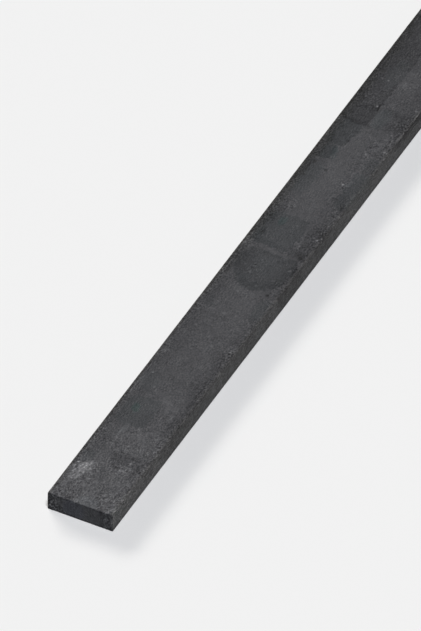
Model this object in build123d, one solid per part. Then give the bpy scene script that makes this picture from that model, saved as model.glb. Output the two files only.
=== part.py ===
from build123d import *

import os

# Hot-rolled steel flat bar, sawn to a stock length.
#
# The bar is one rolled piece, so it is one solid. It lies on a broad face:
#   +X  along the bar, the direction it was rolled in
#   +Y  across its width
#   +Z  up through its thickness
# The origin is the centre of the face it rests on. Lengths are in millimetres.

# The size it is sold by
LENGTH = 1000.0
WIDTH = 20.0
THICKNESS = 6.0

# What the mill leaves: the broad faces are flat, because the rolls press on them, while the
# narrow edges spread freely in the last pass and stay slightly full at mid-thickness.
CORNER_RADIUS = 0.2
EDGE_CROWN = 0.08

# What the saw leaves: square ends, with the burr taken off their sharp outline.
END_BREAK = 0.15


def rolled_section() -> Sketch:
    """The section across the bar, resting on Z = 0, with crowned edges and tight corners."""
    corner_y = WIDTH / 2 - EDGE_CROWN
    with BuildSketch(Plane.YZ) as section:
        with BuildLine():
            Line((-corner_y, 0), (corner_y, 0))
            ThreePointArc((corner_y, 0), (WIDTH / 2, THICKNESS / 2), (corner_y, THICKNESS))
            Line((corner_y, THICKNESS), (-corner_y, THICKNESS))
            ThreePointArc((-corner_y, THICKNESS), (-WIDTH / 2, THICKNESS / 2), (-corner_y, 0))
        make_face()
        fillet(section.vertices(), radius=CORNER_RADIUS)
    return section.sketch


def flat_bar() -> Part:
    """The section run out both ways to the stock length and cut square at each end."""
    bar = extrude(rolled_section(), amount=LENGTH / 2, both=True)
    faces_along = bar.faces().sort_by(Axis.X)
    outlines = faces_along[0].edges() + faces_along[-1].edges()
    return chamfer(outlines, length=END_BREAK)


os.makedirs("parts", exist_ok=True)
export_step(flat_bar(), "parts/flat_bar.step")
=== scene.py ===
"""Looks of a hot-rolled steel flat bar: its skin of mill scale, the floor, the light, the camera.

Blender objects are in metres in the CAD's frame: +X along the bar, +Y across it, +Z up, and the
origin at the centre of the face it rests on. The skin is worked out in millimetres.

The finish is laid out on a net of the bar, as if its skin were unfolded flat. "Along" runs from
the near end (-X), and "girth" runs round the section from the top face's left edge (+Y):

    top face     girth 0 to 20            right side   girth 20 to 26, downwards
    left side    girth 0 to -6            bottom face  girth 26 to 46, back towards +Y
    near end     along 0 to -6, folded down from the top face; the far end likewise
"""
import math
from typing import NamedTuple

import bmesh
import bpy
import numpy as np
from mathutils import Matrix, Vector, noise


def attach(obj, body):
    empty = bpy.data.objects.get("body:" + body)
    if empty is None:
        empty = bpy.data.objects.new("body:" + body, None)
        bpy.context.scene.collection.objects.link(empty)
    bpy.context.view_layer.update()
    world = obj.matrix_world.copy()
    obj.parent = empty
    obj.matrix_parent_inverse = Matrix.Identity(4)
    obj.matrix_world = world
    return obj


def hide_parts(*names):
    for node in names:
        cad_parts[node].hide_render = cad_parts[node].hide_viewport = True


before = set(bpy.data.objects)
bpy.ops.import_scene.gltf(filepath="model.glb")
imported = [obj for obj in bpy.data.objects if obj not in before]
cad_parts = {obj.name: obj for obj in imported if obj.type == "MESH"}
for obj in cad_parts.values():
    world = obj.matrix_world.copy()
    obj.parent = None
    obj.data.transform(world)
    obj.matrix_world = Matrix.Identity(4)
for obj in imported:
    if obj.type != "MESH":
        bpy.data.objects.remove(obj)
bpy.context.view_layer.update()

MM = 0.001              # a millimetre, in Blender's metres

# The bar's section and length, as in the CAD
LENGTH = 1000.0
WIDTH = 20.0
THICKNESS = 6.0
CORNER_RADIUS = 0.2
EDGE_CROWN = 0.08
END_BREAK = 0.15
GIRTH = 2 * (WIDTH + THICKNESS)


# =======================================================================================
# Marks: what the mill, the saw and storage left on this bar, and some painted light and shade, laid
# out on the net


class Mark(NamedTuple):
    """A patch, stain, spot or line. It is oval, or squarer as its power grows past 2."""

    along: float            # centre
    girth: float
    length: float           # half its size along the bar and round it
    width: float
    levels: float           # how much lighter it is than what lies round it, in grey levels
    turn: float = 0.0       # degrees, from along towards girth
    power: float = 2.0
    soft: float = 0.5       # width of its rim
    ragged: float = 0.3     # how far its outline wanders
    teal: float = 0.0       # loss of red, in grey levels
    blue: float = 0.0       # gain of blue
    calm: float = 0.0       # share of the grain that it hides, or below 0, adds
    # the pale flecks are painted highlights on lumps of scale, with painted shade beside them
    flecks: float = 0.0     # grey levels of the pale flecks that it is strewn with
    raised: float = 0.0     # how far its scale stands above the rest, in millimetres
    stop: float = 1e6       # where it is cut off along the bar


MARKS = [
    # pale stain on the near end's left: a cloudy halo, and dense mottled middles
    Mark(11.5, 4.6, 7.5, 4.6, 4, soft=4.5, ragged=1.0, flecks=4),
    Mark(12.6, 3.8, 4.4, 2.1, 11, turn=8, soft=1.6, ragged=1.4, flecks=12),
    Mark(12.0, 2.2, 2.6, 0.9, 6, turn=-6, soft=1.0, ragged=1.2, flecks=6),
    Mark(14.2, 3.5, 1.9, 1.3, 10, turn=20, soft=1.0, ragged=1.0, flecks=12),
    Mark(13.0, 5.0, 1.6, 0.8, 14, turn=-10, soft=0.7, ragged=0.9, flecks=6),
    Mark(16.0, 5.2, 0.9, 0.7, 12, soft=0.8, ragged=0.5),
    Mark(12.8, 5.0, 1.4, 0.9, 12, soft=0.8, ragged=0.5),
    Mark(13.2, 3.4, 1.2, 0.8, 7, soft=0.9, ragged=0.5),
    Mark(15.2, 6.1, 1.0, 0.6, 8, soft=0.7, ragged=0.5),
    Mark(14.4, 1.7, 1.2, 0.7, -8, soft=0.8, ragged=0.5),
    Mark(9.6, 3.3, 1.5, 1.0, 6, soft=1.2, ragged=1.0, flecks=8),
    Mark(3.6, 5.6, 3.2, 2.4, -5, turn=-30, soft=1.6, ragged=0.8),
    Mark(11.8, 8.9, 4.8, 1.3, -5, turn=10, soft=1.2, ragged=0.9),
    Mark(16.8, 8.6, 1.0, 1.1, -5, soft=1.0, ragged=0.5),
    Mark(19.2, 9.2, 1.4, 0.9, 6, turn=-20, soft=1.0, ragged=0.6),
    # near end: a bluish sheen, bare spots in the scale, and a duller place with a sharp edge
    Mark(1.8, 11.5, 1.9, 3.0, 6, soft=1.5, teal=1, blue=0.5, calm=0.4),
    Mark(0.8, 8.1, 0.7, 0.7, 13, soft=0.5),
    Mark(18.2, 2.9, 2.6, 1.5, -7, soft=0.8, teal=1, calm=0.4),
    Mark(4.3, 16.9, 4.2, 0.6, -8, turn=-12, soft=0.6, ragged=0.6),
    Mark(2.4, 18.6, 2.6, 1.2, 9, turn=-12, soft=1.0, ragged=0.6),
    Mark(11.2, 15.6, 7.0, 1.2, 4, turn=-8, soft=1.6, ragged=0.9, flecks=3),
    Mark(17.4, 17.4, 3.0, 0.5, -7, turn=8, soft=0.6, ragged=0.6),
    Mark(18.4, 18.8, 1.7, 0.6, 9, soft=0.6, ragged=0.5),
    Mark(21.0, 11.0, 2.6, 2.9, -6, turn=-10, power=3, soft=1.6, ragged=0.8, stop=23.5),
    Mark(20.6, 15.0, 3.2, 5.6, -5, power=4, soft=0.8, ragged=0.3, stop=23.5),
    Mark(28.4, 14.4, 5.4, 5.4, 3, power=4, soft=1.6, ragged=0.6, flecks=5),
    Mark(36.4, 15.0, 2.4, 1.4, 5, turn=-10, soft=1.0, ragged=0.7),
    Mark(17.4, 11.9, 0.7, 1.2, -11, soft=0.7, ragged=0.5),
    Mark(17.8, 14.3, 2.9, 1.5, 7, turn=18, soft=0.9, ragged=0.8, calm=-0.4, flecks=14),
    Mark(24.0, 9.0, 0.6, 3.0, 4, soft=0.5),
    Mark(28.2, 6.35, 3.3, 0.28, 14, turn=-4, soft=0.3, ragged=0.1, calm=0.3),
    Mark(31.9, 6.7, 1.9, 0.8, 8, turn=14, soft=0.6, teal=0.8, calm=0.5),
    Mark(29.6, 8.6, 3.6, 1.1, 4, turn=8, soft=1.2, ragged=0.6),
    Mark(34.2, 13.2, 1.7, 1.5, -4, soft=1.2, ragged=0.6),
    Mark(29.0, 17.6, 3.4, 1.2, 5, turn=-6, soft=1.0, ragged=0.7),
    Mark(31.8, 11.4, 1.4, 0.6, 7, turn=-20, soft=0.6, ragged=0.6),
    Mark(29.0, 14.6, 1.5, 0.9, 3, turn=-25, soft=0.8, ragged=0.8, flecks=8),
    Mark(32.6, 15.2, 1.9, 1.6, 4, turn=-30, soft=0.9, ragged=0.7, flecks=12),
    Mark(41.4, 15.9, 1.5, 0.9, 6, turn=-15, soft=0.8, ragged=0.7, flecks=8),
    Mark(45.4, 15.3, 1.4, 0.8, 4, turn=-30, soft=0.7, ragged=0.7, flecks=8),
    Mark(44.6, 13.4, 2.2, 0.6, 7, turn=-12, soft=0.7, ragged=0.5),
    Mark(46.4, 11.4, 1.3, 0.7, 8, soft=0.7, ragged=0.6),
    Mark(48.7, 15.2, 0.8, 0.7, 9, soft=0.6, ragged=0.4),
    Mark(42.6, 3.2, 3.4, 1.6, 4, soft=1.4, ragged=0.7),
    Mark(50.0, 1.6, 3.4, 1.2, 7, soft=1.0, ragged=0.6),
    Mark(42.9, 10.7, 1.0, 1.9, 5, turn=12, soft=0.9, ragged=0.5),
    Mark(45.6, 16.6, 6.0, 1.2, 4, soft=1.2, ragged=0.7),
    # first bluish plate of scale, with a sharp near edge, and the dull places past it
    Mark(39.6, 6.8, 5.9, 4.7, -6, power=6, soft=0.6, ragged=0.6, teal=1, calm=0.45, raised=0.02),
    Mark(40.6, 5.6, 1.6, 1.1, 1, turn=-15, soft=0.9, teal=6.5, blue=-2),
    Mark(52.0, 3.9, 4.2, 2.5, -3, turn=-22, soft=1.4, ragged=0.6, teal=0.8, calm=0.4),
    Mark(51.0, 17.9, 12.5, 2.2, -3, soft=1.4, ragged=0.8),
    Mark(54.0, 18.2, 2.4, 1.3, 5, soft=1.0),
    Mark(53.2, 18.2, 5.8, 0.2, -14, soft=0.3, ragged=0.2),
    Mark(66.0, 18.1, 2.6, 0.2, -8, turn=-3, soft=0.3, ragged=0.2),
    Mark(55.1, 10.5, 1.2, 7.0, -4, power=3, soft=0.9),
    Mark(66.2, 1.4, 2.8, 1.0, 5, soft=1.0, ragged=0.5),
    Mark(72.0, 4.4, 8.5, 1.0, -2, soft=1.2, ragged=0.8),
    Mark(76.8, 17.2, 2.8, 1.2, -4, turn=-14, soft=0.8, ragged=0.5),
    Mark(78.2, 16.6, 7.5, 1.8, 5, soft=1.4, ragged=0.7),
    Mark(81.4, 8.6, 1.6, 1.0, -4, soft=1.0, ragged=0.4),
    Mark(72.9, 16.2, 0.35, 2.6, 6, turn=12, soft=0.4),
    Mark(85.2, 5.0, 0.4, 3.2, 6, soft=0.4),
    Mark(85.3, 9.2, 0.45, 0.8, 15, soft=0.5),
    Mark(87.8, 3.8, 2.6, 1.3, -3, soft=0.6, teal=0.5, calm=0.4),
    Mark(90.0, 17.6, 4.6, 1.8, -2, soft=1.0, teal=1.2, calm=0.4),
    Mark(90.4, 12.6, 4.6, 2.4, 4, soft=1.8, ragged=0.6),
    Mark(98.6, 17.6, 2.2, 1.4, 5, turn=20, soft=1.0, ragged=0.6),
    Mark(95.8, 9.2, 1.4, 3.0, 4, turn=6, soft=1.0, ragged=0.4),
    # the tongue of thick scale, with its dark rim, which inside its front edge is painted shade
    # where the raised scale slopes away from the light, and a pale crease ahead of it
    Mark(107.0, 10.6, 10.2, 8.3, -9, soft=0.3, ragged=0.5, teal=0.7, calm=0.35, raised=0.04,
         stop=112.6),
    Mark(106.4, 2.4, 4.6, 1.8, -5, soft=1.2, ragged=0.9),
    # painted shade: the dark rim inside the tongue's front edge
    Mark(99.9, 7.0, 1.9, 2.1, -4, soft=1.2, ragged=0.5, teal=0.6),
    Mark(98.6, 11.4, 1.0, 3.4, -6, turn=-6, soft=0.8, ragged=0.4, teal=0.5),
    Mark(101.3, 15.4, 1.5, 2.2, -4, turn=-30, soft=1.2, ragged=0.5),
    Mark(105.6, 17.6, 5.0, 1.2, -4, turn=4, soft=1.0, ragged=0.5),
    Mark(107.0, 4.8, 4.8, 1.9, -4, turn=-4, soft=1.2, ragged=0.6),
    Mark(107.3, 11.0, 3.8, 3.8, 3, soft=3.0, ragged=0.6, teal=0.3),
    Mark(104.9, 7.6, 2.6, 0.8, 0, soft=0.6, calm=-0.4, flecks=12),
    Mark(104.0, 1.0, 9.0, 1.3, 0, power=4, soft=0.8, calm=-0.3, flecks=6),
    Mark(111.8, 9.0, 0.5, 4.2, -3, soft=0.6),
    Mark(109.2, 18.6, 1.5, 0.35, -10, soft=0.4),
    Mark(113.3, 9.8, 0.8, 2.4, 5, turn=6, soft=0.8, ragged=0.3),
    Mark(113.8, 1.6, 1.7, 1.3, 6, soft=1.0, ragged=0.6),
    Mark(112.2, 14.3, 1.0, 0.35, 9, turn=-35, soft=0.5),
    Mark(114.9, 15.6, 1.7, 3.4, -7, turn=12, soft=1.0, ragged=0.7),
    Mark(114.0, 18.2, 1.3, 0.6, -10, turn=-40, soft=0.5, ragged=0.5),
    Mark(104.8, 19.25, 8.4, 0.16, 9, turn=0.4, soft=0.2, ragged=0.1),
    Mark(94.2, 17.7, 2.9, 0.24, 10, turn=-52, soft=0.3, ragged=0.2),
    # second plate, and the thin rough scale on both sides of it
    Mark(121.5, 7.6, 7.0, 6.2, -7, power=6, soft=0.4, ragged=0.45, teal=1, calm=0.3, raised=0.03),
    # painted shade: a dark rim inside the second plate's front edge, where its raised scale slopes
    # away from the light
    Mark(115.7, 6.4, 0.9, 4.6, -5, soft=0.7, ragged=0.4, teal=0.5),
    Mark(118.2, 3.2, 2.6, 1.3, -4, soft=0.9, ragged=0.5, teal=0.5),
    Mark(119.5, 3.3, 1.2, 0.7, -10, turn=12, soft=0.8, ragged=0.6),
    Mark(125.3, 6.3, 1.7, 1.1, 0, soft=0.8, teal=5, blue=-1),
    Mark(125.2, 2.0, 3.8, 1.9, -6, soft=0.9, ragged=1.0, calm=-0.4, flecks=5),
    Mark(125.6, 3.3, 1.0, 0.8, -7, soft=0.7, ragged=0.5),
    Mark(117.4, 14.2, 2.6, 1.6, 0, soft=0.8, ragged=0.6, calm=-0.4, flecks=5),
    Mark(122.0, 14.7, 5.2, 0.25, 6, soft=0.4, ragged=0.3),
    Mark(126.9, 13.2, 1.2, 1.7, -3, power=4, soft=0.6),
    Mark(117.4, 17.2, 3.6, 1.5, -8, turn=8, soft=0.9, ragged=0.7, calm=-0.3),
    Mark(124.4, 17.0, 4.2, 2.2, -4, power=4, soft=0.7, ragged=0.5, calm=-0.5, flecks=4),
    Mark(124.8, 18.4, 2.2, 0.5, -12, turn=-10, soft=0.5, ragged=0.6),
    Mark(125.4, 19.3, 1.6, 0.4, -16, turn=-5, soft=0.4, ragged=0.3),
    # smooth pale middle, with rough scale and then a bluish plate below it
    Mark(147.6, 9.6, 19.0, 2.9, 2, soft=2.2, ragged=0.8, calm=0.4),
    Mark(129.6, 4.0, 2.2, 1.4, -5, soft=1.0, ragged=0.6),
    Mark(132.4, 5.5, 2.6, 1.2, 2, turn=12, soft=0.9, ragged=0.8, calm=-0.5, flecks=9),
    Mark(134.2, 17.9, 2.6, 1.5, 2, turn=20, soft=1.0, ragged=0.6, calm=-0.4, flecks=6),
    Mark(149.6, 14.6, 15.5, 1.8, 1, power=3, soft=0.9, ragged=1.0, calm=-0.5, flecks=5),
    Mark(144.8, 17.9, 7.6, 2.4, -1, power=5, soft=0.4, ragged=0.7, teal=1.2, calm=0.35),
    Mark(139.8, 17.0, 3.6, 2.4, -8, turn=-18, soft=1.0, ragged=0.7),
    Mark(151.0, 15.6, 4.0, 1.1, 4, soft=1.0, ragged=0.6),
    Mark(159.6, 15.9, 5.6, 1.1, 4, turn=4, soft=1.2, ragged=0.6),
    Mark(167.4, 17.0, 3.2, 0.9, 5, soft=0.8, ragged=0.6),
    Mark(124.0, 18.9, 1.2, 0.8, 4, soft=0.8, ragged=0.4),
    Mark(140.0, 19.1, 24.0, 0.7, -3, soft=0.8, ragged=0.2),
    Mark(137.6, 18.5, 1.3, 0.4, -16, turn=-10, soft=0.4, ragged=0.3),
    Mark(156.6, 17.8, 3.0, 1.8, -3, power=4, soft=0.6, ragged=0.7, teal=0.6, calm=0.2),
    Mark(165.6, 16.6, 5.8, 2.6, 1, turn=5, power=4, soft=0.9, ragged=0.7, calm=-0.2, flecks=5),
    Mark(165.4, 18.7, 5.0, 0.7, -4, soft=0.6, ragged=0.3),
    Mark(170.2, 19.35, 1.7, 0.3, 13, soft=0.3, ragged=0.2),
    Mark(149.2, 7.5, 1.3, 0.3, -8, turn=-20, soft=0.4, ragged=0.4),
    # rough dull edge on the left, with bluish plates beside it that have sharp lower edges
    Mark(158.0, 0.0, 58.0, 2.4, -4, power=4, soft=1.4, ragged=0.8, blue=-1, calm=-0.15),
    Mark(182.0, 0.0, 50.0, 2.6, -3, power=4, soft=1.4, ragged=0.8),
    Mark(148.4, 1.2, 5.4, 1.5, -7, soft=1.0, ragged=0.6),
    Mark(164.0, 1.3, 9.0, 1.4, -4, power=4, soft=1.0, ragged=0.6),
    Mark(144.4, 4.4, 7.2, 2.4, -4, turn=6, soft=1.0, ragged=0.8, teal=1.1, calm=0.3),
    Mark(150.4, 2.4, 2.6, 0.5, -8, turn=4, soft=0.5, ragged=0.4),
    Mark(156.3, 4.0, 3.0, 2.0, -11, turn=4, power=4, soft=0.4, ragged=0.5, teal=1.6, calm=0.3),
    Mark(156.6, 6.2, 2.6, 0.9, -2, turn=-16, soft=0.6, ragged=0.3, teal=2.5),
    Mark(165.2, 4.8, 5.4, 3.0, -11, turn=8, power=5, soft=0.4, ragged=0.5, teal=1.2, calm=0.2),
    Mark(162.6, 7.4, 1.4, 0.25, -8, turn=4, soft=0.3, ragged=0.2),
    # the same further on, rough at first, past a step right across the bar
    Mark(194.4, 3.1, 24.0, 6.1, -11, power=7, soft=0.3, ragged=0.35, raised=0.03),
    Mark(174.6, 5.8, 4.4, 3.3, -6, power=5, soft=0.6, ragged=0.4, teal=0.2, calm=0.2),
    # painted shade: dark rims inside the step's near edge, where the raised scale slopes away from
    # the light
    Mark(171.0, 6.2, 0.9, 3.4, -7, soft=0.6, ragged=0.2),
    Mark(170.4, 9.4, 1.0, 1.3, -6, soft=0.7, ragged=0.4),
    Mark(178.3, 7.2, 1.6, 1.2, -5, soft=0.8, ragged=0.4),
    Mark(178.2, 13.0, 1.4, 2.4, -6, soft=0.9, ragged=0.5),
    Mark(184.6, 8.5, 4.8, 0.5, -8, soft=0.4, ragged=0.3),
    Mark(201.0, 6.2, 5.6, 3.2, -5, power=3, soft=1.4, ragged=0.6),
    Mark(199.6, 10.2, 3.2, 1.8, -6, soft=1.2, ragged=0.6),
    Mark(182.6, 13.9, 2.2, 1.6, -4, soft=1.2, ragged=0.6),
    Mark(181.6, 4.4, 5.4, 4.6, 0, power=3, soft=1.2, ragged=0.8, calm=-0.3, flecks=5),
    Mark(193.0, 6.8, 6.4, 2.4, 1, soft=1.0, ragged=0.7, teal=0.8, calm=0.3),
    # painted shadow beside the painted glint of the speck at along 179.0
    Mark(178.6, 8.55, 1.1, 0.3, -26, turn=-4, soft=0.3, ragged=0.2),
    # painted shade: a dark line inside the near edge of the raised plate below
    Mark(170.8, 12.6, 0.3, 3.4, -4, turn=-2, soft=0.4),
    Mark(175.4, 14.4, 4.3, 5.4, -5, power=6, soft=0.4, calm=-0.2, raised=0.02),
    Mark(174.8, 11.4, 4.0, 2.0, 1, power=3, soft=0.8, ragged=0.4, teal=1.6, calm=0.5),
    Mark(172.6, 10.2, 2.2, 0.9, 4, soft=0.8, ragged=0.5),
    Mark(175.5, 18.2, 3.9, 2.0, -5, soft=0.9, ragged=0.5, calm=-0.3),
    Mark(190.0, 10.9, 1.5, 0.5, 8, turn=-15, soft=0.5, ragged=0.3),
    Mark(176.0, 19.7, 5.5, 0.4, 8, soft=0.3, ragged=0.1),
    Mark(179.7, 19.5, 1.0, 0.3, 16, soft=0.3, ragged=0.2),
    # right side
    Mark(1.8, 23.0, 3.2, 4.0, 2, soft=2.0, ragged=0.6, teal=1),
    Mark(21.2, 21.6, 1.6, 1.2, -8, soft=1.0, ragged=0.5),
    Mark(25.4, 22.0, 1.9, 2.4, 4, turn=50, soft=0.8, ragged=0.4),
    Mark(35.0, 23.0, 1.6, 3.6, -6, power=3, soft=0.8),
    Mark(39.4, 21.8, 2.6, 1.9, -5, soft=0.9, ragged=0.5),
    Mark(58.0, 21.6, 2.4, 1.6, 4, turn=45, soft=0.9, ragged=0.4),
    Mark(79.4, 22.6, 2.2, 3.0, -5, power=3, soft=1.0),
    Mark(84.8, 22.6, 1.6, 2.4, 4, turn=45, soft=0.9, ragged=0.4, teal=1),
    Mark(94.8, 22.9, 1.8, 4.0, 5, soft=0.8),
    Mark(103.6, 22.9, 7.4, 4.5, -10, power=4, soft=0.9, ragged=0.4),
    Mark(123.7, 23.0, 8.0, 4.0, -5, soft=2.0),
    Mark(148.0, 23.0, 19.0, 4.0, 5, power=4, soft=2.0),
    Mark(148.6, 21.4, 4.0, 1.6, -3, soft=1.0, teal=0.6),
    Mark(176.0, 20.9, 8.0, 0.9, -24, power=4, soft=0.7, ragged=0.2),
    # scale that is rougher along parts of the top face's edges
    Mark(60.0, 17.4, 26.0, 2.4, 0, power=4, soft=1.4, calm=-0.25),
    Mark(106.0, 2.2, 25.0, 2.2, 0, power=4, soft=1.2, calm=-0.2),
    # darker in two of the long corners: along the top face's left edge, and in painted shade along
    # the right side's foot, where it meets the floor
    Mark(106.0, 0.35, 106.0, 0.4, -14, power=8, soft=0.3, ragged=0.2),
    Mark(106.0, 25.6, 106.0, 0.7, -12, power=8, soft=0.4, ragged=0.1),
    # near end: burnished middle, rough where the saw went in and came out
    Mark(-3.0, 7.9, 2.8, 3.0, 2, power=3, soft=1.2, teal=0.4, blue=2.6, calm=0.6),
    Mark(-3.0, 13.0, 3.2, 3.2, 3, power=3, soft=1.2, calm=0.6),
    Mark(-3.0, 1.8, 3.0, 1.6, 4, soft=1.0, calm=-0.3),
    # painted light: a paler band low on the near end, against the shade that falls there near the
    # floor
    Mark(-5.4, 10.0, 1.6, 10.0, 4, power=4, soft=2.0),
    Mark(-3.0, 16.4, 2.8, 0.8, -6, soft=0.7),
    Mark(-2.6, 17.7, 2.3, 0.35, 7, turn=3, soft=0.4),
    Mark(-2.8, 19.2, 2.6, 0.45, 6, soft=0.4),
    Mark(-3.0, 0.15, 3.4, 0.3, -16, soft=0.2, ragged=0.1),
    Mark(-3.0, 1.4, 0.6, 0.35, 9, soft=0.4),
    Mark(-4.9, 0.55, 0.7, 0.3, 8, soft=0.3),
    # dark lines along the near end's top edge and its foot; the one at its foot is painted shade,
    # where the end meets the floor
    Mark(-0.15, 10.0, 0.3, 9.6, -9, power=8, soft=0.3, ragged=0.1),
    Mark(-5.75, 10.0, 0.35, 10.2, -12, power=8, soft=0.3, ragged=0.1),
    Mark(-2.2, 2.5, 1.2, 0.3, 8, soft=0.4),
    Mark(-0.2, 7.8, 0.5, 0.5, 16, soft=0.3),
]

# Specks and pits: along, girth, radius, and how much lighter each one looks, in grey levels. A pale
# speck with a dark one close beside it is a painted glint and the painted shadow of a small pit
SPECKS = [
    (10.0, 7.3, 0.45, 24), (9.2, 6.1, 0.45, -12), (11.4, 5.7, 0.4, -14), (13.0, 7.2, 0.45, -6),
    (26.0, 10.8, 0.4, 6), (22.3, 14.3, 0.45, -14), (20.6, 18.2, 0.4, -7), (19.8, 15.2, 0.45, 5),
    (6.2, 14.4, 0.5, 14), (1.9, 18.6, 0.6, 14), (50.3, 6.1, 0.5, 10), (55.2, 3.1, 0.4, 22),
    (77.6, 4.6, 0.45, 14), (57.5, 3.8, 0.35, 14), (74.7, 10.0, 0.4, 16), (71.6, 12.5, 0.5, 10),
    (85.4, 12.8, 0.4, 10), (94.6, 8.5, 0.45, 9), (71.8, 18.2, 0.36, 34),
    (71.1, 18.3, 0.38, -22), (96.7, 16.6, 0.45, -24), (98.0, 17.0, 0.38, -18),
    (98.8, 12.0, 0.45, 14), (103.0, 7.8, 0.45, 14), (105.4, 5.4, 0.4, 9),
    (106.3, 7.8, 0.4, -18), (108.8, 8.8, 0.45, 7), (110.2, 13.0, 0.45, -10),
    (102.6, 15.2, 0.45, 12), (108.2, 17.5, 0.45, 24), (114.2, 17.7, 0.5, -10),
    (119.2, 3.5, 0.5, -11), (125.4, 10.9, 0.45, 11), (119.3, 13.6, 0.45, 6),
    (122.7, 18.4, 0.38, 37), (123.8, 19.2, 0.36, 27), (126.1, 17.5, 0.45, -16),
    (119.7, 18.7, 0.4, -13), (131.5, 5.2, 0.35, 14), (134.4, 5.9, 0.35, 18),
    (132.3, 6.6, 0.35, 9), (133.7, 19.3, 0.45, 16), (146.2, 14.3, 0.45, 29),
    (146.9, 14.7, 0.35, 14), (145.6, 16.2, 0.4, -13), (160.0, 14.2, 0.45, 12),
    (163.1, 18.3, 0.42, 36), (162.2, 18.4, 0.38, 12), (160.4, 19.5, 0.38, 16),
    (170.2, 17.0, 0.4, 20), (149.2, 7.2, 0.5, -12), (162.7, 7.2, 0.45, -12),
    (182.1, 18.6, 0.38, 20), (183.6, 5.2, 0.4, 11), (179.0, 7.9, 0.42, 42),
    (181.4, 3.0, 0.4, 9), (189.9, 5.8, 0.38, 26), (190.0, 3.8, 0.38, 24),
]

SPECK_GAIN = 1.4        # a speck is so small that it looks this much weaker than its paint
STOP_RIM = 0.4          # half the width over which a mark fades at its stop
TOLD_LENGTH = 212.0     # past here along the bar, the finish goes on as chance has it
TOLD_FADE = (TOLD_LENGTH - 3, TOLD_LENGTH + 6)


# =======================================================================================
# Skin: one closed mesh, with a lattice of cells that is fine beside every edge

CELL = 0.65             # side of a cell as far as the marks go
COARSE_CELL = 1.25      # length of a cell along the rest of the bar
END_CUTS = 2            # more cuts in every cell of the sawn ends
END_STEPS = (0.0, END_BREAK, 3 * END_BREAK)     # lattice lines beside each end

STRIPS = 4              # lengths that the long faces are cut into on the bake map
MAP_SPAN = 256.0        # millimetres of the net across the whole bake map
MAP_GAP = 3.0           # between the faces on it
END_SCALE = 4.0         # how much larger the ends are on it


def spread(start, stop, cell):
    """Even lattice lines from start as far as stop, but without it."""
    return np.linspace(start, stop, round((stop - start) / cell), endpoint=False)


def section_lines(size):
    """Lattice lines across a width or a thickness, with one where each round corner starts."""
    return [0.0, *spread(CORNER_RADIUS, size - CORNER_RADIUS, CELL), size - CORNER_RADIUS, size]


def length_lines():
    """Lattice lines along the bar: close beside the ends, and coarser past the marks."""
    told = spread(2 * END_STEPS[-1], TOLD_LENGTH, CELL)
    rest = spread(TOLD_LENGTH, LENGTH - 2 * END_STEPS[-1], COARSE_CELL)
    far = [LENGTH - step for step in reversed(END_STEPS)]
    return [*END_STEPS, *told, *rest, LENGTH - 2 * END_STEPS[-1], *far]


def quads(grid):
    """The cells of a grid of point numbers, each as its four corners in turn."""
    corners = (grid[:-1, :-1], grid[1:, :-1], grid[1:, 1:], grid[:-1, 1:])
    return np.stack(corners, axis=-1).reshape(-1, 4)


def box_skin():
    """Points of a box's lattice, counted from its lowest corner, and quads by face."""
    x = np.array(length_lines())
    y = np.array(section_lines(WIDTH))
    z = np.array(section_lines(THICKNESS))
    shell = np.ones((len(x), len(y), len(z)), bool)
    shell[1:-1, 1:-1, 1:-1] = False
    number = np.zeros(shell.shape, int)
    number[shell] = np.arange(shell.sum())
    i, j, k = np.nonzero(shell)
    points = np.stack([x[i], y[j], z[k]], axis=1)
    faces = {
        "top": quads(number[:, :, -1]),
        "bottom": quads(number[:, :, 0].T),
        "left": quads(number[:, -1, :].T),
        "right": quads(number[:, 0, :]),
        "near": quads(number[0].T),
        "far": quads(number[-1]),
    }
    return points, faces


def on_net(points, face):
    """Along and girth of points of the box lattice, as they lie on one face of the net."""
    x, y, z = points[..., 0], points[..., 1], points[..., 2]
    across = WIDTH - y
    depth = THICKNESS - z
    along, girth = {
        "top": (x, across),
        "right": (x, WIDTH + depth),
        "bottom": (x, 2 * WIDTH + THICKNESS - across),
        "left": (x, -depth),
        "near": (-depth, across),
        "far": (LENGTH + depth, across),
    }[face]
    return np.stack([along, girth], axis=-1)


def on_bake_map(net, face):
    """Where quads of the net go on the bake map: long faces in strips, and the ends above."""
    along, girth = net[..., 0], net[..., 1]
    if face in ("near", "far"):
        depth = -along if face == "near" else along - LENGTH
        first = 0.0 if face == "near" else WIDTH * END_SCALE + MAP_GAP
        u = MAP_GAP + first + girth * END_SCALE
        v = MAP_SPAN - MAP_GAP - depth * END_SCALE
    else:
        strip_length = LENGTH / STRIPS
        strip = np.floor(along.mean(axis=1, keepdims=True) / strip_length)
        u = MAP_GAP + along - strip * strip_length
        v = MAP_GAP + THICKNESS + girth + strip * (GIRTH + MAP_GAP)
    return np.stack([u, v], axis=-1) / MAP_SPAN


def rolled_and_sawn(points):
    """The box lattice brought to the CAD's form: round corners, crowned edges, broken ends."""
    x = points[:, 0] - LENGTH / 2
    section = points[:, 1:] - (WIDTH / 2, THICKNESS / 2)
    half = np.array([WIDTH / 2, THICKNESS / 2])
    core = np.clip(section, CORNER_RADIUS - half, half - CORNER_RADIUS)
    away = section - core
    reach = np.linalg.norm(away, axis=1, keepdims=True)
    away /= np.maximum(reach, 1e-9)
    at_end = np.abs(x)[:, None] > LENGTH / 2 - END_BREAK / 2
    radius = np.where(at_end, CORNER_RADIUS - END_BREAK, CORNER_RADIUS)
    section = core + away * np.where(reach > 0, radius, 0.0)
    y, z = section.T
    y = y * (1 - 2 * EDGE_CROWN / WIDTH * (2 * z / THICKNESS) ** 2)
    return np.stack([x, y, z + THICKNESS / 2], axis=1)


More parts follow.
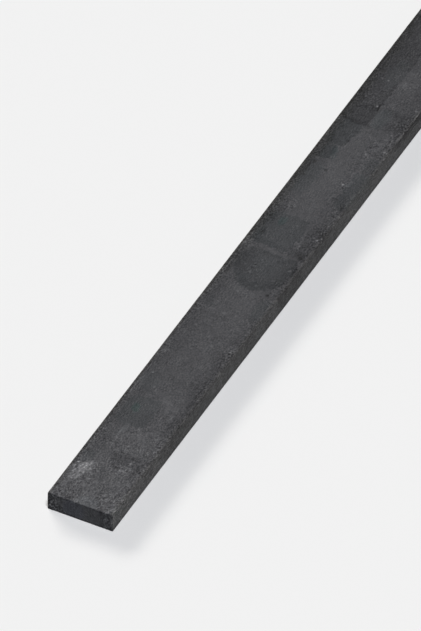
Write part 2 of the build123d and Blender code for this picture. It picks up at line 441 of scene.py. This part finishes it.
def build_skin():
    """The bar's mesh in millimetres, with its net and its bake map as UV maps."""
    points, faces = box_skin()
    nets = {face: on_net(points[cells], face) for face, cells in faces.items()}
    maps = {face: on_bake_map(net, face) for face, net in nets.items()}
    mesh = bpy.data.meshes.new("flat_bar_skin")
    cells = np.concatenate(list(faces.values()))
    mesh.from_pydata(rolled_and_sawn(points).tolist(), [], cells.tolist())
    for name, places in (("OFBake", maps), ("Net", nets)):
        layer = mesh.uv_layers.new(name=name)
        values = np.concatenate(list(places.values())).astype(np.float32)
        layer.uv.foreach_set("vector", values.ravel())
    return mesh


def refine_ends(mesh):
    """Cuts the cells of the sawn ends finer, so that they can carry the saw's marks."""
    skin = bmesh.new()
    skin.from_mesh(mesh)
    end_faces = [face for face in skin.faces if abs(face.normal.x) > 0.99]
    edges = list({edge for face in end_faces for edge in face.edges})
    bmesh.ops.subdivide_edges(skin, edges=edges, cuts=END_CUTS, use_grid_fill=True)
    skin.to_mesh(mesh)
    skin.free()


# =======================================================================================
# Relief: how deep the real surface lies under the nominal one, in millimetres

SCALE_LEVEL = 0.06      # mean depth of the scale's surface, which leaves room for raised plates
SWELL = 0.03            # depth of the rolled faces' slow swell
HOLLOWS = 0.012         # and of the scale's own small hollows
SAW_DEPTH = 0.05        # of the saw's scores near the bar's edges
SAW_CALM = 0.3          # share of that depth in the middle of the cut
SAW_PITCH = 1.1
SAW_SLANT = 0.04        # how far the scores lean, for each millimetre of height
CORNER_WEAR = 0.8       # strength of the wear on the long corners
WORN_FROM = 0.15        # value of its noise at which it starts
NICK = (0.0, 7.7, 0.6, 0.25)    # along, girth, radius and depth of a nick in the near top edge


def outward(points):
    """Each point's direction out of the bar: square to its face, and fanned round a corner."""
    middle = np.array([0.0, 0.0, THICKNESS / 2])
    half = np.array([LENGTH, WIDTH, THICKNESS]) / 2 - CORNER_RADIUS
    away = points - middle
    away -= np.clip(away, -half, half)
    return away / np.linalg.norm(away, axis=1, keepdims=True)


def falloff(reach, low, high):
    """1 below low and 0 above high, with a smooth step between."""
    t = np.clip((reach - low) / (high - low), 0, 1)
    return 1 - t * t * (3 - 2 * t)


def raised_scale(along, girth):
    """How far the marks' thicker scale stands up at points of the net."""
    height = np.zeros(len(along))
    for mark in MARKS:
        if mark.raised:
            x = (along - mark.along) / mark.length
            y = (girth - mark.girth) / mark.width
            reach = (np.abs(x) ** mark.power + np.abs(y) ** mark.power) ** (1 / mark.power)
            rim = CELL / min(mark.length, mark.width)
            inside = falloff(reach, 1 - rim, 1 + rim) * falloff(along, mark.stop, mark.stop + CELL)
            height += mark.raised * inside
    return height


def scale_depth(point):
    """Unevenness of the rolled faces: a slow swell, and the scale's own small hollows."""
    x, y, z = point
    swell = noise.fractal(Vector((x / 24, y / 7, z / 7 + 3)), 1.0, 2.0, 3)
    hollows = noise.fractal(Vector((x / 2.6, y / 2.0, z / 2.0)), 1.0, 2.0, 2)
    return SWELL * swell + HOLLOWS * hollows


def saw_depth(point):
    """Scores of the saw down the sawn ends, rougher where the blade went in and came out."""
    x, y, z = point
    rough = SAW_CALM + (1 - SAW_CALM) * min(1.0, (y / (0.4 * WIDTH)) ** 4)
    tremble = noise.fractal(Vector((x, y / 1.3, z / 8)), 1.0, 2.0, 3)
    teeth = math.sin(2 * math.pi * (y + SAW_SLANT * z) / SAW_PITCH)
    return SAW_DEPTH * rough * (teeth + tremble)


def corner_wear(point, normal):
    """What is knocked off the long corners here and there."""
    fan = 1 - np.abs(normal).max()
    x, y, z = point
    dull = noise.fractal(Vector((x / 3.1, y, z + 7)), 1.0, 2.0, 3)
    return fan * CORNER_WEAR * max(0.0, dull - WORN_FROM)


def nicked(along, girth):
    """Depth of the nick at points of the top face."""
    nick_along, nick_girth, radius, depth = NICK
    return depth * falloff(np.hypot(along - nick_along, girth - nick_girth) / radius, 0, 1)


def carve_relief(mesh):
    """Sinks the skin by its relief, straight in from each face, and stores it in metres."""
    points = np.empty(3 * len(mesh.vertices))
    mesh.vertices.foreach_get("co", points)
    points = points.reshape(-1, 3)
    normals = outward(points)
    depths = np.empty(len(points))
    for number, (point, normal) in enumerate(zip(points, normals)):
        sawn = abs(normal[0]) > 0.9
        rough = saw_depth(point) if sawn else scale_depth(point)
        depths[number] = SCALE_LEVEL + rough + corner_wear(point, normal)
    along = points[:, 0] + LENGTH / 2
    girth = WIDTH / 2 - points[:, 1]
    on_top = points[:, 2] > THICKNESS - CORNER_RADIUS
    depths += on_top * (nicked(along, girth) - raised_scale(along, girth))
    points -= normals * np.maximum(depths, 0)[:, None]
    mesh.vertices.foreach_set("co", (points * MM).ravel())
    mesh.update()


# =======================================================================================
# Material: the tone of the scale, in grey levels of an 8-bit display

DISPLAY_LEVELS = 255
DISPLAY_GAMMA = 2.2

# Plain scale, and sawn steel painted dark with painted shade
# painted light: the narrow faces are written lighter than the broad faces' edges, for light that
# the lamps give the sides too little of
ROLLED_TONE = 62.3          # of the narrow faces
BROAD_SHIFT = -4.0          # what the broad faces add to it
MIDDLE_SHIFT = 7.0          # what their middle and the near end add
NEAR_SHIFT = 4.0            # what the near end adds as well
ARRIS_SHIFT = 5.0           # what paler patches add along the arrises
DRIFT = 1.5                 # strength of slow changes along the bar
CLOUDS = 2.0                # and of smaller clouds
# painted shade: the sawn ends are painted darker than bare sawn steel, as dark as the near end
# looks in shade
SHADED_SAWN_TONE = 53.5
SCORES = 3.0                # strength of the fine scores on the sawn ends

# Where these fade out or set in, in millimetres
NEAR_FADE = (8.0, 38.0)     # along the bar
MIDDLE_FADE = (3.0, 8.5)    # from the middle line of a broad face
BROAD_FADE = (8.5, 10.3)
SCORE_RISE = (3.0, 9.0)     # from the middle of a sawn end, outwards
ARRIS_FADE = (0.1, 0.9)     # from an arris
SEAM = 0.3                  # half the width over which one face's finish turns into the next

# Grain
FINE_GRAIN = 6.5
MOTTLE = 3.2
RIDGES = 5.0                # worm-like ridges of the near end
CUT_RIDGES = 3.5            # and more of them close to the cut
CUT_RIDGE_FADE = (5.0, 12.0)

# Strength of all the grain, what is added to it in three places, and where these places end
GRAIN = 1.1
NEAR_GRAIN = 0.6
NEAR_GRAIN_FADE = (22.0, 48.0)      # the near end's ridges fade out here too
CUT_GRAIN = 0.4
CUT_GRAIN_FADE = (2.0, 12.0)
ARRIS_GRAIN = 0.8
ARRIS_GRAIN_RISE = (6.5, 9.0)       # from the middle line of a broad face, outwards
GRAIN_PATCHES = 0.3         # how much it changes from patch to patch
MOST_CALM = 0.8             # the largest share of the grain that marks hide

# What chance draws past the marks
STEP_SHIFT = 4.0
PLATE_SHIFT = -7.0
PLATE_EDGE = 0.34           # value of the plates' noise where their scale is whole
RIM_SHIFT = -4.0            # of the dark rim round a plate
STAIN_SHIFT = 12.0
SPOT_SHIFT = 7.0
SPECK_SHIFT = 34.0
SPECK_RADIUS = 0.4
SPECK_SPACING = 7.0

# Tint: how far red and blue stand from green on the narrow faces, and what other faces add
NARROW_RED = 0.6
NARROW_BLUE = 0.1
STEEL_RED = -0.8            # broad and sawn faces
STEEL_BLUE = 2.5
SAWN_RED = -0.6             # sawn faces alone

# Surface
ROUGHNESS = 0.58
ROUGHNESS_SWAY = 0.06
CALM_SHEEN = 0.08           # how much smoother the scale is where a mark calms its grain
GRAIN_HEIGHT = 0.003        # bump of one grey level of grain, in millimetres
METALLIC = 0.3
SPECULAR = 0.15


class Field:
    """A value that varies over the surface. Arithmetic on it adds Math nodes to its tree."""

    def __init__(self, tree, socket):
        self.tree = tree
        self.socket = socket

    def node(self, kind, inputs, output=0, **settings):
        """Adds a shader node, fills its inputs with numbers or fields, and gives an output."""
        made = self.tree.nodes.new("ShaderNode" + kind)
        for name, value in settings.items():
            setattr(made, name, value)
        for key, value in inputs.items():
            if isinstance(value, Field):
                self.tree.links.new(value.socket, made.inputs[key])
            else:
                made.inputs[key].default_value = value
        return Field(self.tree, made.outputs[output])

    def math(self, operation, first, second=0.0, third=0.0):
        return self.node("Math", {0: first, 1: second, 2: third}, operation=operation)

    def __add__(self, other):
        return self.math("ADD", self, other)

    def __sub__(self, other):
        return self.math("SUBTRACT", self, other)

    def __rsub__(self, other):
        return self.math("SUBTRACT", other, self)

    def __mul__(self, other):
        return self.math("MULTIPLY", self, other)

    def __pow__(self, power):
        return self.math("POWER", self, power)

    def __abs__(self):
        return self.math("ABSOLUTE", self)

    __radd__ = __add__
    __rmul__ = __mul__

    def at_least(self, other):
        return self.math("MAXIMUM", self, other)

    def at_most(self, other):
        return self.math("MINIMUM", self, other)

    def above(self, low, high):
        """0 below low and 1 above high, with a smooth step between."""
        inputs = {"Value": self, "From Min": low, "From Max": high}
        # The smooth step keeps to 0 and 1 by itself. A clamp on top of each of so many would
        # hold more values at once than the renderer has room for, and turn the bar black.
        return self.node("MapRange", inputs, interpolation_type="SMOOTHSTEP", clamp=False)

    def below(self, low, high):
        """1 below low and 0 above high."""
        return self.above(high, low)

    def over(self, other, cover):
        """This field where cover is 1, and the other where it is 0."""
        return other + (self - other) * cover

    def with_more(self, amount, cover):
        """This field, with the amount added where cover is 1."""
        return self.math("MULTIPLY_ADD", cover, amount, self) if amount else self

    def dot(self, vector):
        """This vector's dot product with a plain one."""
        return self.node("VectorMath", {0: self, 1: vector}, output=1, operation="DOT_PRODUCT")

    def other(self, name):
        """Another output of the node that this field comes from."""
        return Field(self.tree, self.socket.node.outputs[name])


def speck_cover(reach, radius):
    """1 in the middle of a speck and 0 just outside it, by the distance from its middle."""
    return reach.below(radius * 0.2, radius * 1.5)


def outline_group():
    """A node group that draws one mark. Its rows turn a place into the mark's own x and y."""
    group = bpy.data.node_groups.new("mark_outline", "ShaderNodeTree")
    vectors = ("Place", "Wander", "Ragged", "X Row", "Y Row")
    numbers = ("Power", "Inner", "Outer")
    for name in vectors:
        group.interface.new_socket(name, in_out="INPUT", socket_type="NodeSocketVector")
    for name in numbers:
        group.interface.new_socket(name, in_out="INPUT", socket_type="NodeSocketFloat")
    group.interface.new_socket("Inside", in_out="OUTPUT", socket_type="NodeSocketFloat")
    given = group.nodes.new("NodeGroupInput").outputs
    place, wander, ragged, x_row, y_row = (Field(group, given[name]) for name in vectors)
    power, inner, outer = (Field(group, given[name]) for name in numbers)
    moved = place.node("VectorMath", {0: wander, 1: ragged, 2: place}, operation="MULTIPLY_ADD")
    reach = abs(moved.dot(x_row)) ** power + abs(moved.dot(y_row)) ** power
    result = group.nodes.new("NodeGroupOutput").inputs["Inside"]
    group.links.new(reach.below(inner, outer).socket, result)
    return group


class Net:
    """The net's coordinates in the shader, and what is drawn on them."""

    def __init__(self, tree):
        self.outline = outline_group()
        uv = tree.nodes.new("ShaderNodeUVMap")
        uv.uv_map = "Net"
        uv = Field(tree, uv.outputs[0])
        # The third coordinate is 1, so that a dot product can hold a shift as well.
        self.place = uv.node("VectorMath", {0: uv, 1: (0, 0, 1)}, operation="ADD")
        self.along = self.place.dot((1, 0, 0))
        self.girth = self.place.dot((0, 1, 0))
        under = WIDTH + THICKNESS
        from_top = abs(self.girth - WIDTH / 2)
        from_bottom = abs(self.girth - (under + WIDTH / 2))
        # Distance from the middle line of the top or the bottom face, whichever is nearer
        self.across = from_top.at_most(from_bottom)
        self.broad = self.across.below(*BROAD_FADE)
        self.sawn = self.along.below(-SEAM, 0).at_least(self.along.above(LENGTH, LENGTH + SEAM))
        # Where chance draws the finish: past the marks, and on the left and bottom faces
        at_left = self.girth.below(-SEAM, SEAM)
        at_bottom = self.girth.above(under - SEAM, under + SEAM)
        beyond = self.along.above(*TOLD_FADE)
        self.untold = beyond.at_least(at_left.at_least(at_bottom)) * (1 - self.sawn)

    def grain(self, size, seed, stretch=1.0, detail=2.0, rough=0.5):
        """Noise about zero, nearly all of it from -1 to 1, with grains of that size."""
        inputs = {
            "Vector": self.place,
            "Location": (seed, seed, 0),
            "Scale": (1 / (size * stretch), 1 / size, 1),
        }
        moved = self.place.node("Mapping", inputs)
        inputs = {"Vector": moved, "Scale": 1.0, "Detail": detail, "Roughness": rough}
        return moved.node("TexNoise", inputs, noise_dimensions="2D") * 5 - 2.5

    def wander(self, size, seed):
        """A vector that sways about zero, for ragged outlines."""
        inputs = {"X": self.grain(size, seed=seed), "Y": self.grain(size, seed=seed + 50), "Z": 0.0}
        return self.place.node("CombineXYZ", inputs)

    def steps(self, length, seed):
        """Levels from -1 to 1, each kept for about that length right across the bar."""
        sway = self.grain(5, seed=seed) * 0.05
        slant = self.girth * 0.004
        inputs = {"W": self.along * (1 / length) + slant + sway, "Scale": 1.0}
        cells = sway.node("TexVoronoi", inputs, output="Color", voronoi_dimensions="1D")
        return cells.node("SeparateColor", {"Color": cells}, output="Red") * 2 - 1

    def shape(self, mark, wander):
        """1 inside a mark's outline and 0 outside."""
        turn = math.radians(mark.turn)
        c, s = math.cos(turn), math.sin(turn)
        ahead = c * mark.along + s * mark.girth
        aside = c * mark.girth - s * mark.along
        rim = mark.soft / min(mark.length, mark.width)
        inputs = {
            "Place": self.place,
            "Wander": wander,
            "Ragged": (mark.ragged,) * 3,
            "X Row": (c / mark.length, s / mark.length, -ahead / mark.length),
            "Y Row": (-s / mark.width, c / mark.width, -aside / mark.width),
            "Power": mark.power,
            "Inner": max(0.0, 1 - rim / 2) ** mark.power,
            "Outer": (1 + rim / 2) ** mark.power,
        }
        inside = self.place.node("Group", inputs, node_tree=self.outline)
        if mark.stop < LENGTH:
            inside = inside * self.along.below(mark.stop - STOP_RIM, mark.stop + STOP_RIM)
        return inside

    def speck(self, along, girth, radius):
        """1 in a speck's middle and 0 away from it."""
        inputs = {0: self.place, 1: (along, girth, 1)}
        reach = self.place.node("VectorMath", inputs, output=1, operation="DISTANCE")
        return speck_cover(reach, radius)

    def chance_specks(self):
        """Specks strewn over the skin, from -1 for the darkest to 1 for the palest."""
        inputs = {"Vector": self.place, "Scale": 1 / SPECK_SPACING}
        cells = self.place.node("TexVoronoi", inputs, output="Color", voronoi_dimensions="2D")
        reach = cells.other("Distance") * SPECK_SPACING
        shift = cells.node("SeparateColor", {"Color": cells}, output="Red") * 2 - 1
        return speck_cover(reach, SPECK_RADIUS) * shift

    def flecks(self):
        """Small irregular flecks: 1 where pale, as painted highlights on lumps of scale, and a
        little below 0 beside them, as painted shade.
        """
        bumps = self.grain(0.9, seed=33, stretch=1.3, detail=1.0)
        return bumps.above(0.2, 0.9) - bumps.below(-0.9, -0.3) * 0.5


def finish(net):
    """What all the marks add up to, for each of a mark's kinds of change to plain scale."""
    wander = net.wander(1.6, seed=41)
    flecks = net.flecks()
    sums = chance_finish(net)
    for mark in MARKS:
        inside = net.shape(mark, wander)
        for kind, field in sums.items():
            sums[kind] = field.with_more(getattr(mark, kind), inside)
        if mark.flecks:
            sums["levels"] = sums["levels"].with_more(mark.flecks, inside * flecks)
    for along, girth, radius, shift in SPECKS:
        speck = net.speck(along, girth, radius)
        sums["levels"] = sums["levels"].with_more(shift * SPECK_GAIN, speck)
    return sums


def chance_finish(net):
    """The same kinds of mark as chance has them: steps, plates, stains, spots and specks."""
    steps = net.steps(24, seed=75)
    plates = net.grain(13, seed=71, stretch=1.7, detail=3.0)
    plate = plates.above(PLATE_EDGE - 0.08, PLATE_EDGE)
    rim = abs(plates - PLATE_EDGE).below(0.02, 0.16)
    stain = net.grain(9, seed=83, detail=3.0).above(1.15, 1.9) * (net.grain(1.6, seed=85) + 1)
    blots = net.grain(2.4, seed=87, detail=1.0)
    spots = blots.above(1.25, 1.6) - blots.below(-1.6, -1.25)
    levels = steps * STEP_SHIFT + plate * PLATE_SHIFT + rim * RIM_SHIFT
    levels += stain * STAIN_SHIFT + spots * SPOT_SHIFT + net.chance_specks() * SPECK_SHIFT
    sums = {"levels": levels, "teal": plate, "blue": plate * 0.2, "calm": plate * 0.35}
    return {kind: field * net.untold for kind, field in sums.items()}


def ground_tone(net):
    """Plain scale, paler along the middle and the near end, with painted light on the narrow faces;
    and sawn steel in painted shade.
    """
    near = net.along.below(*NEAR_FADE)
    middle = net.across.below(*MIDDLE_FADE).at_least(near)
    arris = abs(net.across - WIDTH / 2).below(*ARRIS_FADE)
    pale_arris = arris * net.grain(5, seed=13).above(-0.6, 0.8)
    drift = net.grain(34, seed=3, stretch=2.5)
    clouds = net.grain(6, seed=9, stretch=1.2)
    # painted light: the narrow faces are left lighter than the broad faces' edges, for light that
    # the lamps give the sides too little of
    rolled = ROLLED_TONE + BROAD_SHIFT * net.broad + MIDDLE_SHIFT * middle + NEAR_SHIFT * near
    rolled += ARRIS_SHIFT * pale_arris + DRIFT * drift + CLOUDS * clouds
    scores = net.grain(0.9, seed=21, stretch=12) * net.across.above(*SCORE_RISE)
    # painted shade: the sawn ends are darker than bare sawn steel
    sawn = SHADED_SAWN_TONE + SCORES * scores + CLOUDS / 2 * clouds
    return sawn.over(rolled, net.sawn)


def grain_tone(net):
    """Fine grain and mottle, with worm-like ridges near the saw cut."""
    near = net.along.below(*NEAR_GRAIN_FADE)
    at_cut = net.along.below(*CUT_GRAIN_FADE)
    at_arris = net.across.above(*ARRIS_GRAIN_RISE)
    strength = GRAIN + NEAR_GRAIN * near + CUT_GRAIN * at_cut + ARRIS_GRAIN * at_arris
    patchy = strength * (1 + GRAIN_PATCHES * net.grain(4, seed=15))
    fine = net.grain(0.5, seed=17, stretch=1.35, detail=1.0)
    mottle = net.grain(1.4, seed=29, stretch=1.3, rough=0.6)
    ridges = abs(net.grain(1.7, seed=23, stretch=1.4, detail=1.0)).below(0, 0.5) - 0.3
    ridged = RIDGES * near + CUT_RIDGES * net.along.below(*CUT_RIDGE_FADE)
    return (FINE_GRAIN * fine + MOTTLE * mottle + ridged * ridges) * patchy


def mill_scale():
    """The bar's one material: blue-grey oxide, with bare, stained and pitted places, and some light
    and shade painted in.
    """
    material = bpy.data.materials.new("mill_scale")
    material.use_nodes = True
    tree = material.node_tree
    shader = tree.nodes["Principled BSDF"]
    net = Net(tree)

    marks = finish(net)
    grain = grain_tone(net)
    tone = ground_tone(net) + grain * (1 - marks["calm"].at_most(MOST_CALM)) + marks["levels"]
    steel = net.broad.at_least(net.sawn)
    red = tone + NARROW_RED + STEEL_RED * steel + SAWN_RED * net.sawn - marks["teal"]
    blue = tone + NARROW_BLUE + STEEL_BLUE * steel + marks["blue"]
    parts = {"Red": red, "Green": tone, "Blue": blue}
    parts = {part: level * (1 / DISPLAY_LEVELS) for part, level in parts.items()}
    colour = tone.node("CombineColor", parts)
    colour = colour.node("Gamma", {"Color": colour, "Gamma": DISPLAY_GAMMA})
    rough = ROUGHNESS + net.grain(2.2, seed=61) * ROUGHNESS_SWAY - marks["calm"] * CALM_SHEEN
    bump = tone.node("Bump", {"Height": grain, "Distance": GRAIN_HEIGHT * MM, "Strength": 1.0})

    tree.links.new(colour.socket, shader.inputs["Base Color"])
    tree.links.new(rough.socket, shader.inputs["Roughness"])
    tree.links.new(bump.socket, shader.inputs["Normal"])
    shader.inputs["Metallic"].default_value = METALLIC
    shader.inputs["Specular IOR Level"].default_value = SPECULAR
    return material


# =======================================================================================
# Floor, light and camera

FLOOR_HALF = 100.0          # metres, past the edge of every view
FLOOR_SHADE = 0.885

KEY_ELEVATION = 26.8
KEY_AZIMUTH = 55.8          # from +X towards +Y
KEY_SHARE = 0.225           # of the light that a level surface gets
KEY_SPREAD = 12.0
KEY_TINT = (1.03, 1.0, 0.93)
TOP_ELEVATION = 70.0
TOP_AZIMUTH = -140.0        # on the camera's side, so that the bar hides this lamp's shadow
TOP_SHARE = 0.695
TOP_TINT = (0.99, 1.0, 1.023)
TOP_SPREAD = 14.0
FILL_SHARE = 0.08

CAMERA_AZIMUTH = -62.4716   # 0 looks along +Y, 90 along -X
CAMERA_ELEVATION = 42.6487
CAMERA_DISTANCE = 4.76902
CAMERA_TARGET = (-0.411765, 0.006475, 0.0)
CAMERA_LENS = 1000.0


def direction(azimuth, elevation):
    """The unit vector towards an azimuth, from +X towards +Y, and an elevation, in degrees."""
    a, e = math.radians(azimuth), math.radians(elevation)
    return Vector((math.cos(e) * math.cos(a), math.cos(e) * math.sin(a), math.sin(e)))


def add_object(name, data, towards=None):
    """Links an object, with its +Z axis turned towards a direction if one is given."""
    made = bpy.data.objects.new(name, data)
    if towards:
        made.rotation_mode = "QUATERNION"
        made.rotation_quaternion = towards.to_track_quat("Z", "Y")
    bpy.context.scene.collection.objects.link(made)
    return made


def add_sun(name, share, tint, spread, azimuth, elevation):
    """A far soft lamp that gives a level surface this share of full light."""
    lamp = bpy.data.lights.new(name, "SUN")
    lamp.energy = share * math.pi / math.sin(math.radians(elevation))
    lamp.color = tint
    lamp.angle = math.radians(spread)
    add_object(name, lamp, direction(azimuth, elevation))


def add_light():
    """A strip of light low behind the bar's left, a soft high light at its near right, and fill."""
    for step in (-1, 0, 1):
        azimuth = KEY_AZIMUTH + step * KEY_SPREAD
        add_sun(f"key_{step}", KEY_SHARE / 3, KEY_TINT, KEY_SPREAD, azimuth, KEY_ELEVATION)
    add_sun("overhead", TOP_SHARE, TOP_TINT, TOP_SPREAD, TOP_AZIMUTH, TOP_ELEVATION)
    add_world()


def add_world():
    """A weak fill. The camera, gloss and glass see a backdrop of the floor's shade instead."""
    world = bpy.data.worlds.new("studio")
    world.use_nodes = True
    bpy.context.scene.world = world
    tree = world.node_tree
    rays = tree.nodes.new("ShaderNodeLightPath").outputs
    seen = Field(tree, rays["Is Camera Ray"])
    for kind in ("Glossy", "Transmission"):
        seen = seen.at_least(Field(tree, rays[f"Is {kind} Ray"]))
    strength = seen * (FLOOR_SHADE - FILL_SHARE) + FILL_SHARE
    tree.links.new(strength.socket, tree.nodes["Background"].inputs["Strength"])
    tree.nodes["Background"].inputs["Color"].default_value = (1, 1, 1, 1)


def floor_paint():
    """Matt pale paint."""
    material = bpy.data.materials.new("pale_floor")
    material.use_nodes = True
    shader = material.node_tree.nodes["Principled BSDF"]
    shader.inputs["Base Color"].default_value = (FLOOR_SHADE, FLOOR_SHADE, FLOOR_SHADE, 1)
    shader.inputs["Roughness"].default_value = 1.0
    shader.inputs["Specular IOR Level"].default_value = 0.0
    return material


def pale_floor():
    """A plain level floor, wide enough for every view."""
    half = FLOOR_HALF
    corners = [(-half, -half, 0), (half, -half, 0), (half, half, 0), (-half, half, 0)]
    mesh = bpy.data.meshes.new("floor")
    mesh.from_pydata(corners, [], [(0, 1, 2, 3)])
    mesh.materials.append(floor_paint())
    add_object("floor", mesh)


def add_camera():
    """A far camera with a long lens, because the bar is seen with next to no perspective."""
    lens = bpy.data.cameras.new("camera")
    lens.lens = CAMERA_LENS
    lens.sensor_width = 36.0
    lens.clip_end = FLOOR_HALF
    back = direction(CAMERA_AZIMUTH - 90, CAMERA_ELEVATION)
    camera = add_object("camera", lens, back)
    camera.location = Vector(CAMERA_TARGET) + back * CAMERA_DISTANCE
    bpy.context.scene.camera = camera


def flat_bar():
    """The bar's visible surface, in place of its CAD solid."""
    mesh = build_skin()
    refine_ends(mesh)
    carve_relief(mesh)
    mesh.shade_smooth()
    mesh.materials.append(mill_scale())
    bar = add_object("flat_bar_surface", mesh)
    bar.modifiers.new("crisp_corners", "WEIGHTED_NORMAL")
    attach(bar, "root")
    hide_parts("flat_bar")


flat_bar()
pale_floor()
add_light()
add_camera()
bpy.context.scene.view_settings.view_transform = "Standard"
